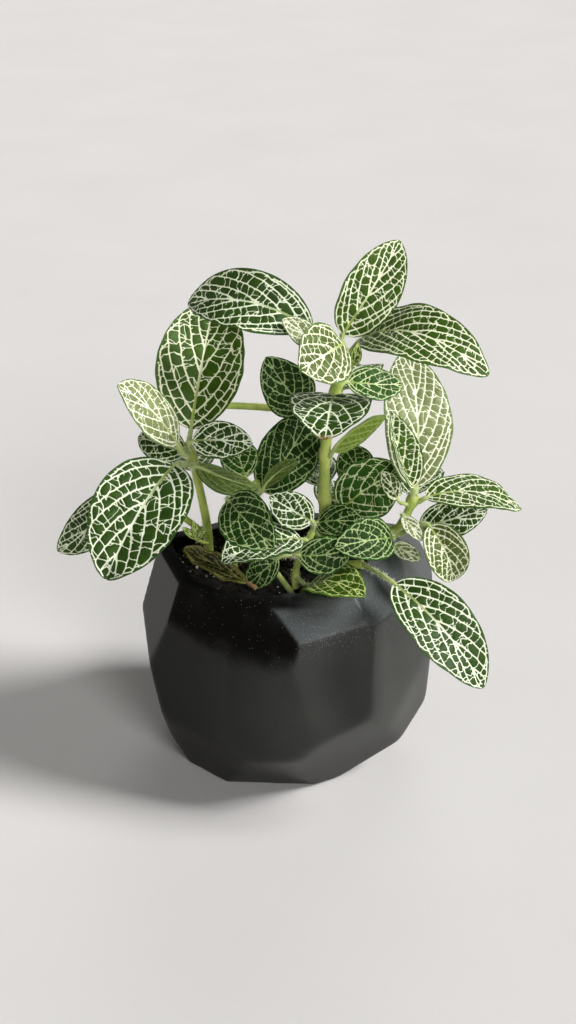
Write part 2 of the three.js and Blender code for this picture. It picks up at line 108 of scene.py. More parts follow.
# The leaves, by the stem that they grow from. Each: name, how far up the stem (0 to 1), the blade's
# base and tip, its width, the way its upper side faces, how far its middle arches up and bends to its
# right, how steeply its halves rise in degrees at the midrib and at the margin, its finish, and its
# outline where that isn't ovate.
LEAVES = [
    # the crown
    ("stem_main", [
        ("leaf_crown_left", 0.97, (9, 3, 178), (-37, 16, 183),
         24, (-2, -8, 6), 9, 3, (12, 17), "mature", LONG_BASED),
        ("leaf_crown_front", 0.985, (20, -4, 175), (4, -30, 175),
         23, (7, -4, 6), 2, 0, (6, 0), "creamy", BLUNT),
        ("leaf_crown_small", 0.92, (11, -4, 174), (-2, -3, 184), 10, (3, -8, 6), 1, 0, (8, 6), "pale"),
        ("leaf_crown_top", 1.0, (20, 3, 176), (41, 20, 206), 22, (2, -9, 4), 3, 0, (12, 20), "fresh"),
        ("leaf_crown_right", 0.96, (27, 8, 172), (71, -20, 169),
         25, (-2, -5, 9), 13, 0, (8, 5), "fresh", BLUNT),
        ("leaf_crown_bud", 0.9, (23, -3, 166), (25, -6, 176), 5, (3, -8, 4), 1, 0, (15, 10), "young"),
    ]),
    # the main stem
    ("stem_main", [
        ("leaf_main_front", 0.82, (17, -4, 155), (13, -38, 152), 30, (0, -1, 10), 3, 0, (9, 9), "browned"),
        ("leaf_main_right", 0.84, (22, 4, 157), (43, 11, 153), 14, (4, -6, 7), 1, 1, (8, 8), "vivid"),
        ("leaf_main_left", 0.7, (6, 6, 146), (-8, 1, 168), 20, (3, -9, 0), 3, -1, (12, 18), "shaded"),
        ("leaf_main_turned", 0.58, (17, -3, 132), (36, -9, 149), 12, (6, 3, -7), -2, 1, (28, 33), "fresh"),
        ("leaf_main_back", 0.4, (31, 12, 111), (22, 25, 121), 16, (-4, -6, 6), 1, 0, (9, 8), "vivid"),
        ("leaf_main_low", 0.3, (21, -2, 108), (43, 2, 122), 25, (1, -10, 1), 2, -2, (10, 12), "vivid"),
        ("leaf_main_foot", 0.25, (11, -9, 105), (28, -16, 109), 14, (-4, -5, 8), 1, 0, (7, 4), "shaded"),
    ]),
    # the left stem
    ("stem_left", [
        ("leaf_left_upright", 1.0, (-36, -3, 141), (-28, 36, 177), 35, (0, -7, 7), 4, 0, (15, 28), "fresh"),
        ("leaf_left_pale", 0.94, (-41, -10, 138), (-61, -17, 164), 21, (7, -4, 5), 1, 2, (5, -5), "pale"),
        ("leaf_left_shaded", 0.9, (-39, 2, 129), (-57, 10, 132), 14, (-3, -8, 6), 2, 0, (9, 8), "mature"),
        ("leaf_left_front", 0.88, (-42, -14, 131), (-65, -48, 102),
         35, (0, -6, 8), 7, 0, (11, 15), "mature", BLUNT),
        ("leaf_left_inner", 0.98, (-35, -12, 140), (-13, -12, 139), 15, (0, -7, 7), 2, 0, (7, 4), "mature"),
        ("leaf_left_turned", 0.85, (-34, -13, 130), (-11, -12, 121), 18, (-4, 1, -9), 1, 0, (7, 4), "shaded"),
    ]),
    ("stem_low_left", [
        ("leaf_left_low", 1.0, (-68, 8, 110), (-90, 4, 86), 17, (1, -10, 1), 3, -2, (10, 10), "mature"),
    ]),
    # the inner, middle and front stems
    ("stem_inner", [
        ("leaf_inner_upright", 0.98, (-16, -3, 121), (-21, 15, 128),
         15, (-1, -4, 9), 1, 0, (10, 10), "vivid"),
        ("leaf_inner_dark", 0.9, (-10, 4, 112), (9, 27, 135), 24, (2, -8, 6), 3, 1, (12, 20), "shaded"),
        ("leaf_inner_turned", 0.93, (-9, -8, 119), (4, -9, 130), 9, (6, 4, -7), 0, 2, (5, -10), "shaded"),
    ]),
    ("stem_middle", [
        ("leaf_middle", 1.0, (-22, -20, 120), (-5, -39, 110), 20, (-4, -7, 6), 3, 0, (9, 10), "shaded"),
    ]),
    ("stem_front", [
        ("leaf_front_upper", 1.0, (9, -16, 109), (-7, -15, 119), 14, (1, -9, 3), 1, 0, (7, 3), "mature"),
        ("leaf_front_left", 0.9, (5, -19, 103), (-24, -36, 102), 22, (1, -2, 10), 3, 1, (10, 12), "mature"),
        ("leaf_front_low", 0.7, (-4, -21, 96), (-15, -20, 84), 11, (-3, -9, 3), 2, 0, (9, 9), "shaded"),
        ("leaf_front_right", 0.75, (4, -29, 102), (24, -26, 104), 15, (1, -10, 2), 2, 1, (9, 9), "shaded"),
        ("leaf_front_young", 0.5, (8, -27, 88), (28, -43, 92), 20, (-3, 0, 9), 4, 0, (9, 11), "young"),
    ]),
    # the right stem and the leaf that hangs over the rim
    ("stem_right", [
        ("leaf_right_tall", 1.0, (49, 2, 115), (46, 33, 158), 28, (3, -7, 6), 10, -2, (7, 2), "pale"),
        ("leaf_right_folded", 0.98, (47, -7, 119), (38, 0, 147), 17, (6, -7, 4), 0, -2, (38, 40), "fresh"),
        ("leaf_right_pointed", 0.96, (52, -6, 114), (89, -2, 107), 20, (3, -2, 9), 4, -2, (6, 1), "fresh"),
        ("leaf_right_small", 0.93, (41, -9, 115), (35, -6, 125), 8, (3, -8, 5), 1, 0, (9, 8), "fresh"),
        ("leaf_right_outer", 0.8, (50, -8, 102), (75, -10, 111), 15, (-2, -9, 5), 2, 0, (8, 6), "mature"),
        ("leaf_right_drooping", 0.72, (53, -16, 107), (62, -20, 86),
         17, (2, -10, 2), 5, -1, (17, 25), "creamy"),
        ("leaf_right_curled", 0.85, (43, -14, 110), (50, -20, 103), 6, (0, -8, 6), 1, 0, (8, 7), "pale"),
        ("leaf_right_facing", 0.7, (39, -16, 102), (17, -31, 106), 17, (5, -6, 6), 3, 0, (11, 16), "shaded"),
        ("leaf_right_tiny", 0.65, (40, -14, 98), (50, -20, 95), 7, (-3, -8, 6), 1, 0, (9, 7), "pale"),
    ]),
    ("stem_low_right", [
        ("leaf_hanging", 1.0, (39, -37, 94), (71, -57, 62), 26, (3, -7, 7), 6, 0, (10, 11), "mature"),
    ]),
    # the back
    ("branch", [
        ("leaf_back_upper", 1.0, (-29, 19, 144), (-37, 48, 152), 24, (0, 3, 9), 4, 0, (8, 8), "mature"),
    ]),
    ("stem_main", [
        ("leaf_back_middle", 0.8, (20, 8, 152), (32, 40, 148), 22, (0, 2, 9), 4, 0, (8, 8), "fresh"),
        ("leaf_back_inner", 0.42, (12, 9, 112), (3, 42, 107), 22, (0, 3, 9), 4, 0, (8, 8), "mature"),
    ]),
    ("stem_right", [
        ("leaf_back_right", 0.96, (47, 5, 110), (54, 37, 105), 22, (1, 3, 9), 4, 0, (8, 8), "mature"),
    ]),
    ("stem_left", [
        ("leaf_back_left", 0.75, (-36, 9, 118), (-48, 39, 109), 24, (0, 3, 9), 4, 0, (8, 8), "fresh"),
    ]),
    ("stem_main", [
        ("leaf_back_low", 0.25, (18, 10, 101), (26, 43, 96), 22, (0, 3, 9), 4, 0, (8, 8), "mature"),
    ]),
    # shed, dry and folded, lying on the rim
    (None, [
        ("leaf_withered", 0, (-15, -29, 90), (-40, -3, 91), 10, (-5, -5, 7), 2, 0, (35, 45), "withered"),
    ]),
]

# A young shoot low on the left stem: its own little stem, and its narrow leaves as tip, width, face.
SHOOT_STEM = ([(-31, -1, 92), (-33, -4, 94), (-35, -7, 97)], (0.8, 0.7))
SHOOT_BASE = (-35, -7.5, 97.5)
SHOOT_LEAVES = [
    ((-40, -9, 103), 3, (0, -8, 5)),
    ((-36, -7, 105), 3, (3, -8, 3)),
    ((-31, -10, 102), 3, (-2, -8, 5)),
]

# Loose bits on the soil: how many, and which share of them is crumbs, perlite and fibres.
LITTER_COUNT = 520
LITTER_SHARES = (0.72, 0.17, 0.11)

STEM_STEP = 1.5  # from one ring of a stem to the next
NODE_SWELL = 0.22  # how much thicker a stem is where a leaf leaves it
NODE_LENGTH = 1.8
HAIR_RADIUS = 0.065
HAIR_LENGTHS = (0.8, 1.6)
HAIRS_PER_RING = 5
PETIOLE_HAIRS_PER_MM = 6
BLADE_MESH = 0.31  # from one point of a blade's mesh to the next
FINE_VEINED = {"vivid": 0.8, "shaded": 0.78, "young": 0.8, "withered": 0.8}  # share of the usual girth

# Each kind of piece draws its random numbers from its own seed, one higher for each piece.
SOIL_SEED = 11
STEM_SEED = 100
LEAF_SEED = 200
SHOOT_SEED = 300

# ---- materials

SMOOTH = {"interpolation_type": "SMOOTHSTEP"}  # a range that eases in and out
# how far red, green and blue light get into plant tissue
FLESH = {"Subsurface Radius": (0.6, 1.0, 0.25), "Subsurface Scale": MM}


def linear(colour):
    """An sRGB hex colour as Blender's linear one."""
    channels = [int(colour[i : i + 2], 16) / 255 for i in (1, 3, 5)]
    return [c / 12.92 if c <= 0.04045 else ((c + 0.055) / 1.055) ** 2.4 for c in channels] + [1.0]


def per_mm(size):
    """Texture scale on Object coordinates that makes a feature about `size` millimetres across."""
    return 1 / (size * MM)


def node(tree, kind, inputs=None, **settings):
    """Add a shader node with its settings.

    An input is given a value, a hex colour, a socket to be linked from, or a node for its first
    output in use.
    """
    made = tree.nodes.new("ShaderNode" + kind)
    for name, value in settings.items():
        setattr(made, name, value)
    for name, value in (inputs or {}).items():
        if isinstance(value, str):
            value = linear(value)
        if isinstance(value, bpy.types.Node):
            value = next(output for output in value.outputs if output.enabled)
        if isinstance(value, bpy.types.NodeSocket):
            tree.links.new(value, made.inputs[name])
        else:
            made.inputs[name].default_value = value
    return made


def new_material(name):
    material = bpy.data.materials.new(name)
    material.use_nodes = True
    material.node_tree.nodes.clear()
    return material, material.node_tree


def blade_finish(name, lamina, lit, vein, rib, margin, roughness=0.48, sheen=0.05, fade=1.0, tip=None):
    """A living leaf blade: green between pale veins, with a plain green margin.

    Reads the blade's own attributes, in millimetres: how far a point is from the nearest vein's
    edge (`vein`), from the midrib's edge (`rib`) and from the margin (`edge`), and `along`.
    """
    material, tree = new_material(name)
    place = node(tree, "TexCoord").outputs["Object"]
    vein_gap, rib_gap, edge_gap, along = (
        node(tree, "Attribute", attribute_name=label).outputs["Fac"]
        for label in ("vein", "rib", "edge", "along")
    )
    # broad patches of lighter tissue and a fine grain of cells
    patches = node(tree, "TexNoise", {"Vector": place, "Scale": per_mm(7), "Detail": 3.0})
    cells = node(tree, "TexNoise", {"Vector": place, "Scale": per_mm(0.7), "Detail": 2.0})
    mottle = node(tree, "Math", {0: patches, 1: cells}, operation="MULTIPLY")
    lighter = node(tree, "MapRange", {"Value": mottle, "From Min": 0.12, "From Max": 0.42})
    tissue = node(tree, "Mix", {0: lighter, 6: lamina, 7: lit}, data_type="RGBA")
    # over it the plain margin, then the veins: each covers `most` up to `full` mm and ends at `gone` mm
    layers = [(edge_gap, 0.3, 1.3, 0.75, margin), (vein_gap, -0.05, 0.09, fade, vein)]
    for gap, full, gone, most, tint in layers:
        cover = node(
            tree, "MapRange",
            {"Value": gap, "From Min": full, "From Max": gone, "To Min": most, "To Max": 0.0}, **SMOOTH
        )
        tissue = node(tree, "Mix", {0: cover, 6: tissue, 7: tint}, data_type="RGBA")
    ripening = node(tree, "MapRange", {"Value": along, "From Min": 0.12, "From Max": 0.6}, **SMOOTH)
    rib_colour = node(tree, "Mix", {0: ripening, 6: rib, 7: vein}, data_type="RGBA")
    on_rib = node(
        tree, "MapRange",
        {"Value": rib_gap, "From Min": -0.08, "From Max": 0.06, "To Min": 1.0, "To Max": 0.0}, **SMOOTH
    )
    colour = node(tree, "Mix", {0: on_rib, 6: tissue, 7: rib_colour}, data_type="RGBA")
    if tip:
        # the tip has dried and turned brown
        dried = node(
            tree, "MapRange", {"Value": along, "From Min": 0.93, "From Max": 0.985, "To Max": 0.85}
        )
        colour = node(tree, "Mix", {0: dried, 6: colour, 7: tip}, data_type="RGBA")
    rough = node(tree, "MapRange", {"Value": cells, "To Min": roughness - 0.08, "To Max": roughness + 0.14})
    relief = node(tree, "Bump", {"Height": cells, "Strength": 0.35, "Distance": 0.12 * MM})
    shader = node(
        tree,
        "BsdfPrincipled",
        {
            "Base Color": colour,
            "Roughness": rough,
            "IOR": 1.4,
            "Specular IOR Level": 0.28,
            "Sheen Weight": sheen,
            "Sheen Roughness": 0.4,
            "Subsurface Weight": 0.12,
            **FLESH,
            "Normal": relief,
        },
    )
    node(tree, "OutputMaterial", {"Surface": shader})
    return material


def skin_finish(name, pale, deep, size, roughness, bump, subsurface=0.0):
    """A plain grown or fired surface: two tones in patches of `size` mm under a fine grain."""
    material, tree = new_material(name)
    place = node(tree, "TexCoord").outputs["Object"]
    patches = node(tree, "TexNoise", {"Vector": place, "Scale": per_mm(size), "Detail": 4.0})
    grain = node(tree, "TexNoise", {"Vector": place, "Scale": per_mm(0.5), "Detail": 3.0})
    tone = node(tree, "MapRange", {"Value": patches, "From Min": 0.35, "From Max": 0.65})
    colour = node(tree, "Mix", {0: tone, 6: deep, 7: pale}, data_type="RGBA")
    rough = node(tree, "MapRange", {"Value": grain, "To Min": roughness - 0.1, "To Max": roughness + 0.1})
    relief = node(tree, "Bump", {"Height": grain, "Strength": bump, "Distance": 0.15 * MM})
    shader = node(
        tree,
        "BsdfPrincipled",
        {
            "Base Color": colour,
            "Roughness": rough,
            "Subsurface Weight": subsurface,
            **FLESH,
            "Normal": relief,
        },
    )
    node(tree, "OutputMaterial", {"Surface": shader})
    return material


def facet_point(facet):
    azimuth, tilt, distance = facet
    turn, lean = math.radians(azimuth), math.radians(tilt)
    outward = Vector((math.cos(lean) * math.cos(turn), math.cos(lean) * math.sin(turn), math.sin(lean)))
    return outward, POT_MIDDLE + outward * distance


def matte_ceramic():
    """Charcoal stoneware, slip cast and left matte: dark, a little sparkle of grit in the glaze."""
    material, tree = new_material("charcoal_matte_stoneware")
    place = node(tree, "TexCoord").outputs["Object"]
    clouds = node(tree, "TexNoise", {"Vector": place, "Scale": per_mm(30), "Detail": 4.0})
    grit = node(tree, "TexNoise", {"Vector": place, "Scale": per_mm(0.45), "Detail": 2.0})
    tone = node(tree, "MapRange", {"Value": clouds, "From Min": 0.3, "From Max": 0.7})
    body = node(tree, "Mix", {0: tone, 6: "#333432", 7: "#3e3f3c"}, data_type="RGBA")
    # partly pale dust, partly painted light from above: the shoulder is lighter where it faces up
    height = node(tree, "SeparateXYZ", {0: place}).outputs["Z"]
    facing = node(tree, "NewGeometry").outputs["Normal"]
    facing_up = node(tree, "SeparateXYZ", {0: facing}).outputs["Z"]
    dust_and_top_light = node(
        tree, "MapRange", {"Value": facing_up, "From Min": 0.35, "From Max": 0.6, "To Max": 0.57}, **SMOOTH
    )
    dusted_and_top_lit = node(tree, "Mix", {0: dust_and_top_light, 6: body, 7: "#585d5e"}, data_type="RGBA")
    # painted shade: darker towards the foot, which is drawn in under the belt
    foot_shade = node(
        tree,
        "MapRange",
        {
            "Value": height,
            "From Min": FOOT_SHADE[0] * MM,
            "From Max": FOOT_SHADE[1] * MM,
            "To Min": 0.85,
            "To Max": 0.0,
        },
        **SMOOTH,
    )
    foot_shaded = node(tree, "Mix", {0: foot_shade, 6: dusted_and_top_lit, 7: "#1b1c1b"}, data_type="RGBA")
    # painted glints: pale specks that stand in for mica catching the light, less than a millimetre apart,
    # almost only on the shoulder
    mica = node(tree, "TexVoronoi", {"Vector": place, "Scale": per_mm(0.8)})
    glint = node(
        tree, "MapRange", {"Value": mica, "From Min": 0.08, "From Max": 0.24, "To Min": 0.55, "To Max": 0.0}
    )
    on_shoulder = node(
        tree, "MapRange",
        {"Value": height, "From Min": GLINTS_FROM[0] * MM, "From Max": GLINTS_FROM[1] * MM, "To Min": 0.05}
    )
    glinted = node(tree, "Math", {0: glint, 1: on_shoulder}, operation="MULTIPLY")
    painted_mica_glints = node(tree, "Mix", {0: glinted, 6: foot_shaded, 7: "#9aa7a8"}, data_type="RGBA")
    # black peat spilled over two facets of the shoulder, and painted shade of the leaves over them: both stop
    # at their creases
    spill_and_shade_mask = None
    for facet in SPILL_AND_SHADE_ON:
        outward, point = facet_point(facet)
        level = node(tree, "VectorMath", {0: place, 1: outward}, operation="DOT_PRODUCT")
        plane = (outward @ point) * MM
        on_facet = node(
            tree, "MapRange", {"Value": level, "From Min": plane - 1.3 * MM, "From Max": plane - 0.35 * MM},
            **SMOOTH
        )
        if spill_and_shade_mask:
            on_facet = node(tree, "Math", {0: spill_and_shade_mask, 1: on_facet}, operation="MAXIMUM")
        spill_and_shade_mask = on_facet
    # and over the rim beside them, peat and painted shade alike
    beside = node(tree, "VectorMath", {0: place, 1: (-0.75, -0.66, 0)}, operation="DOT_PRODUCT")
    near_spill_and_shade = node(
        tree, "MapRange", {"Value": beside, "From Min": 10 * MM, "From Max": 28 * MM}, **SMOOTH
    )
    # painted shade: the facets on the pot's left side darken further to the left
    leftward = node(tree, "VectorMath", {0: place, 1: (-0.97, -0.24, 0)}, operation="DOT_PRODUCT")
    left_side_shade = node(
        tree, "MapRange", {"Value": leftward, "From Min": -2 * MM, "From Max": 48 * MM, "To Max": 0.85},
        **SMOOTH
    )
    left_side_shaded = node(tree, "Mix", {0: left_side_shade, 6: painted_mica_glints, 7: "#121211"}, data_type="RGBA")
    on_rim = node(
        tree, "MapRange", {"Value": height, "From Min": DUST_AND_SHADE_RIM[0] * MM, "From Max": DUST_AND_SHADE_RIM[1] * MM},
        **SMOOTH
    )
    rim_dust_and_shade = node(tree, "Math", {0: near_spill_and_shade, 1: on_rim}, operation="MULTIPLY")
    spill_and_shade_mask = node(tree, "Math", {0: spill_and_shade_mask, 1: rim_dust_and_shade}, operation="MAXIMUM")
    ragged = node(tree, "TexNoise", {"Vector": place, "Scale": per_mm(14), "Detail": 3.0})
    cover = node(
        tree, "MapRange", {"Value": ragged, "From Min": 0.3, "From Max": 0.5, "To Min": 0.88, "To Max": 1.0}
    )
    thinning = node(tree, "Math", {0: ragged, 1: 14 * MM, 2: height}, operation="MULTIPLY_ADD")
    reach = node(
        tree, "MapRange",
        {"Value": thinning, "From Min": SPILL_AND_SHADE_FOOT[0] * MM, "From Max": SPILL_AND_SHADE_FOOT[1] * MM}, **SMOOTH
    )
    covered = node(tree, "Math", {0: spill_and_shade_mask, 1: cover}, operation="MULTIPLY")
    spill_and_shade = node(tree, "Math", {0: covered, 1: reach}, operation="MULTIPLY")
    grains = node(tree, "TexVoronoi", {"Vector": place, "Scale": per_mm(1.0)})
    grain = node(
        tree, "MapRange", {"Value": grains, "From Min": 0.1, "From Max": 0.2, "To Min": 0.8, "To Max": 0.0}
    )
    picked = node(tree, "SeparateColor", {0: grains.outputs["Color"]})
    few = node(tree, "Math", {0: picked, 1: 0.78}, operation="GREATER_THAN")
    pale_grain = node(tree, "Math", {0: grain, 1: few}, operation="MULTIPLY")
    dust_and_shade_colour = node(tree, "Mix", {0: pale_grain, 6: "#060504", 7: "#6e6b62"}, data_type="RGBA")
    # near-black peat and painted shade, flecked with pale grains
    stained_and_shaded = node(tree, "Mix", {0: spill_and_shade, 6: left_side_shaded, 7: dust_and_shade_colour}, data_type="RGBA")
    rough = node(tree, "MapRange", {"Value": grit, "To Min": 0.3, "To Max": 0.42})
    duller = node(tree, "Math", {0: spill_and_shade, 1: rough}, operation="MAXIMUM")
    relief = node(tree, "Bump", {"Height": grit, "Strength": 0.3, "Distance": 0.08 * MM})
    shader = node(
        tree, "BsdfPrincipled",
        {"Base Color": stained_and_shaded, "Roughness": duller, "Specular IOR Level": 0.12, "Normal": relief}
    )
    node(tree, "OutputMaterial", {"Surface": shader})
    return material


# Each leaf finish: the upper side and the underside. A side has a name and the colours of its dark
# and light tissue, veins, young midrib and margin, then its roughness, its sheen, how strongly its
# veins show and a dried tip's colour, where they aren't the usual ones.
BLADES = {
    "mature": [
        ("satin_mature_blade", "#243d0b", "#385617", "#ecf5d6", "#8f9f52", "#34561a"),
        ("matte_blade_underside", "#5f7a3c", "#728c4a", "#a3b678", "#b0be86", "#6a8444", 0.6),
    ],
    "browned": [
        ("brown_tipped_blade", "#243d0b", "#385617", "#ecf5d6", "#8f9f52", "#34561a",
         0.48, 0.05, 1.0, "#86693c"),
        ("matte_tipped_underside", "#5f7a3c", "#728c4a", "#a3b678", "#b0be86", "#6a8444", 0.6),
    ],
    "fresh": [
        ("satin_fresh_blade", "#2f480a", "#466616", "#edf2ce", "#97a84a", "#42651c"),
        ("matte_fresh_underside", "#7a9836", "#8eac44", "#aebf6a", "#bccb80", "#7e9c44", 0.6),
    ],
    "pale": [
        # painted sheen: this grey-green tissue paints the glare of a satin surface, on top of the shader's
        # own sheen
        ("pale_painted_sheen_blade", "#6c7746", "#8f9966", "#f3f6da", "#aab868", "#5f7a3e", 0.4, 0.3),
        ("matte_pale_underside", "#70904a", "#84a258", "#a9bd7c", "#b4c48a", "#7c9852", 0.6),
    ],
    "creamy": [
        # partly painted sheen: this lighter olive tissue stands in for some of the glare of a satin surface
        ("creamy_painted_sheen_blade", "#48591f", "#627434", "#f0f4d0", "#a9b860", "#5c7a36", 0.42, 0.2),
        ("matte_crown_underside", "#70904a", "#84a258", "#a9bd7c", "#b4c48a", "#7c9852", 0.6),
    ],
    "vivid": [
        ("satin_vivid_blade", "#1f4303", "#2f5c0a", "#d9e3b0", "#86a23e", "#386414", 0.55, 0.0, 0.92),
        ("matte_vivid_underside", "#66863a", "#7a9a46", "#a6b86c", "#b4c480", "#72903e", 0.6),
    ],
    "shaded": [
        ("dark_shaded_blade", "#122e02", "#1f4206", "#b0c488", "#6c8a40", "#26500f", 0.62, 0.0, 0.9),
        ("olive_shaded_underside", "#54682c", "#647a36", "#8ea25c", "#9aab68", "#5c7234", 0.6),
    ],
    "young": [
        ("glossy_young_blade", "#2a4206", "#3e5a10", "#c2cf82", "#8f9e3a", "#547619", 0.5, 0.0, 0.92),
        ("matte_young_underside", "#7c9a34", "#8cac40", "#a8bc58", "#b0c060", "#8cac40", 0.55),
    ],
    "withered": [
        ("dry_olive_blade", "#1c2209", "#343a12", "#96935a", "#8c8440", "#6c6a2c", 0.6, 0.0, 0.9),
        ("dry_brown_underside", "#5a5428", "#7a6c34", "#8c8048", "#8c8048", "#6c6030", 0.75, 0.0),
    ],
}
FINISHES = {finish: [blade_finish(*side) for side in sides] for finish, sides in BLADES.items()}
STEM_SKIN = skin_finish("hairy_green_stem", "#c2ce6c", "#9cb44e", 6, 0.5, 0.4, 0.1)
PETIOLE_SKIN = skin_finish("downy_petiole", "#bfca88", "#98ac5c", 4, 0.5, 0.3, 0.1)
HAIR = skin_finish("white_plant_hair", "#f0f2e2", "#dfe4c8", 5, 0.5, 0.0)
PEAT = skin_finish("damp_potting_peat", "#1d150f", "#0a0705", 3, 0.95, 1.0)
PEAT_CRUMB = skin_finish("peat_crumb", "#2c2016", "#120d09", 2, 0.95, 1.0)
PERLITE = skin_finish("white_perlite_grain", "#e6e2d6", "#b8b2a2", 1, 0.9, 1.0)
BARK_BIT = skin_finish("dry_bark_fibre", "#8a6844", "#5c4228", 3, 0.85, 0.8)
CERAMIC = matte_ceramic()

# ---- small tools


def unit(vectors):
    return vectors / np.linalg.norm(vectors, axis=-1, keepdims=True)


def only(piece):
    """Select one piece and nothing else."""
    bpy.ops.object.select_all(action="DESELECT")
    piece.select_set(True)
    bpy.context.view_layer.objects.active = piece


def coat(piece, *materials):
    """Give a piece these materials in place of any that it had."""
    piece.data.materials.clear()
    for material in materials:
        piece.data.materials.append(material)


def finish_modifier(piece, kind, **settings):
    """Add a modifier with its settings and apply it; the piece stays selected."""
    only(piece)
    modifier = piece.modifiers.new(kind.title(), kind)
    for name, value in settings.items():
        setattr(modifier, name, value)
    bpy.ops.object.modifier_apply(modifier=modifier.name)


def join(pieces, name):
    only(pieces[0])
    for piece in pieces[1:]:
        piece.select_set(True)
    bpy.ops.object.join()
    pieces[0].name = name
    pieces[0].data.name = name
    return pieces[0]


def hand_over(piece, slot, *nodes):
    """The piece stands for these CAD nodes and rides on the plant's one body; `slot` is not used."""
    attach(piece, "root")
    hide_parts(*nodes)


def coordinates(mesh):
    flat = np.empty(len(mesh.vertices) * 3)
    mesh.vertices.foreach_get("co", flat)
    return flat.reshape(-1, 3)


def scatter(pattern, places, turns, sizes, name, materials, choose):
    """One mesh with a copy of `pattern` at each place, turned by a 3x3 matrix and sized."""
    corners = coordinates(pattern.data)
    faces = [list(face.vertices) for face in pattern.data.polygons]
    points, polygons, slots = [], [], []
    for place, turn, size, slot in zip(places, turns, sizes, choose):
        first = len(points) * len(corners)
        points.append(place + (corners * size) @ turn.T)
        polygons += [[first + corner for corner in face] for face in faces]
        slots += [slot] * len(faces)
    mesh = bpy.data.meshes.new(name)
    mesh.from_pydata(np.concatenate(points).tolist(), [], polygons)
    for material in materials:
        mesh.materials.append(material)
    mesh.polygons.foreach_set("material_index", slots)
    piece = bpy.data.objects.new(name, mesh)
    bpy.context.scene.collection.objects.link(piece)
    return piece


def turned_to(direction, spin):
    """A matrix that takes +Z to `direction`, after a spin about it."""
    z = unit(np.asarray(direction, float))
    x = np.cross((0.0, 1.0, 0.0) if abs(z[1]) < 0.9 else (1.0, 0.0, 0.0), z)
    x = unit(x)
    y = np.cross(z, x)
    c, s = math.cos(spin), math.sin(spin)
    return np.stack([x * c + y * s, y * c - x * s, z], axis=1)


# ---- pot and soil


def cut_to_facets(name, inset, bottom, top):
    """A block between two heights, cut along every facet moved in by `inset`."""
    reach = 4 * POT_HEIGHT * MM
    bpy.ops.mesh.primitive_cube_add(
        size=1, location=(0, 0, (bottom + top) / 2 * MM), scale=(reach, reach, (top - bottom) * MM)
    )
    block = bpy.context.object
    block.name = name
    bpy.ops.object.transform_apply(location=True, rotation=True, scale=True)
    bpy.ops.object.mode_set(mode="EDIT")
    for facet in POT_FACETS:
        outward, point = facet_point(facet)
        bpy.ops.mesh.select_all(action="SELECT")
        bpy.ops.mesh.bisect(
            plane_co=(point - outward * inset) * MM, plane_no=outward, use_fill=True, clear_outer=True,
            threshold=1e-6
        )
    bpy.ops.object.mode_set(mode="OBJECT")
    return block


def band_group(piece, name, top, fade_above, bottom, fade_below):
    """A vertex group between two heights, full inside the band and fading out at both ends."""
    group = piece.vertex_groups.new(name=name)
    for corner in piece.data.vertices:
        height = corner.co.z / MM
        share = min(max((top - height) / fade_above, 0), 1) * min(max((height - bottom) / fade_below, 0), 1)
        group.add([corner.index], share, "REPLACE")


def make_pot():
    pot = cut_to_facets("pot_shell", 0, 0, POT_HEIGHT)
    hollow = cut_to_facets("hollow", POT_WALL, POT_FLOOR, 2 * POT_HEIGHT)
    finish_modifier(pot, "BOOLEAN", operation="DIFFERENCE", object=hollow, solver="EXACT")
    bpy.data.objects.remove(hollow)
    # slip-cast edges are soft: an even fine mesh, relaxed a little, and more so lower down
    finish_modifier(pot, "REMESH", mode="VOXEL", voxel_size=1.0 * MM)
    band_group(pot, "belt_and_foot", 64, 20, 2, 12)
    finish_modifier(pot, "SMOOTH", factor=0.5, iterations=7)
    finish_modifier(pot, "SMOOTH", factor=0.5, iterations=40, vertex_group="belt_and_foot")
    band_group(pot, "foot", 48, 18, 3, 10)
    finish_modifier(pot, "SMOOTH", factor=0.5, iterations=45, vertex_group="foot")
    coat(pot, CERAMIC)
    bpy.ops.object.shade_smooth()
    return pot


def make_soil(rng):
    soil = cut_to_facets("soil_bed", POT_WALL + GAP, POT_FLOOR + GAP, SOIL_TOP)
    bpy.ops.object.mode_set(mode="EDIT")
    bpy.ops.mesh.select_all(action="DESELECT")
    bpy.ops.object.mode_set(mode="OBJECT")
    for face in soil.data.polygons:
        face.select = face.normal.z > 0.99
    bpy.ops.object.mode_set(mode="EDIT")
    bpy.ops.mesh.select_mode(type="FACE")
    bpy.ops.mesh.poke()
    for _ in range(6):
        bpy.ops.mesh.subdivide(number_cuts=1)
    bpy.ops.object.mode_set(mode="OBJECT")
    top = soil.vertex_groups.new(name="top")
    heights = coordinates(soil.data)[:, 2]
    top.add([int(i) for i in np.nonzero(heights > (SOIL_TOP - 0.01) * MM)[0]], 1.0, "REPLACE")
    for name, size, strength in (("clods", 7, 4.0), ("crumbs", 2.2, 1.6), ("grains", 0.9, 0.7)):
        texture = bpy.data.textures.new(name, "CLOUDS")
        texture.noise_scale = size * MM
        finish_modifier(
            soil, "DISPLACE", texture=texture, texture_coords="LOCAL", direction="Z", mid_level=0.55,
            strength=strength * MM, vertex_group="top"
        )
    coat(soil, PEAT)
    bpy.ops.object.shade_smooth()
    loose = make_soil_litter(rng)
    return join([soil, loose], "soil_bed")


